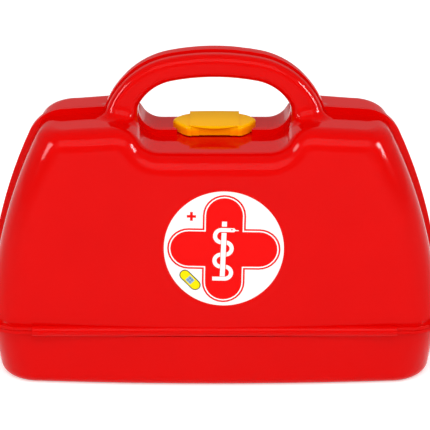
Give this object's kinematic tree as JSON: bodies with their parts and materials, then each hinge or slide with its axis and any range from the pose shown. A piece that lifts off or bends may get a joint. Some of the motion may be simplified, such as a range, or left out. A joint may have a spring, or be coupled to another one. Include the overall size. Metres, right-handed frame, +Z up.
{
  "type": "toy doctor case",
  "caption": "Red plastic toy doctor case with two swing-out half shells, a handle in halves, a base tray and a yellow latch.",
  "frame": {"origin": "on the floor under the middle of the tray, in the plane where the two half shells meet", "axes": "+X to the right along the case, +Y away from the labelled front, +Z up through the handle"},
  "size_m": [0.2692, 0.0992, 0.1926],
  "materials": {
    "red_plastic": "gloss",
    "yellow_plastic": "gloss",
    "label_print": "satin"
  },
  "bodies": {
    "tray": {"tray": "red_plastic"},
    "front": {"front_shell": "red_plastic", "catch_left": "red_plastic", "catch_right": "red_plastic", "label": "label_print"},
    "rear": {"rear_shell": "red_plastic"},
    "latch": {"latch": "yellow_plastic"}
  },
  "joints": [
    {"name": "front_swing", "type": "hinge", "parent": "tray", "child": "front", "pos_m": [0, -0.0465, 0.0372], "axis": [1, 0, 0], "range_deg": [0, 95]},
    {"name": "rear_swing", "type": "hinge", "parent": "tray", "child": "rear", "pos_m": [0, 0.0465, 0.0372], "axis": [-1, 0, 0], "range_deg": [0, 95]},
    {"name": "latch_flip", "type": "hinge", "parent": "rear", "child": "latch", "pos_m": [0, 0.0182, 0.1438], "axis": [-1, 0, 0], "range_deg": [0, 70]}
  ]
}
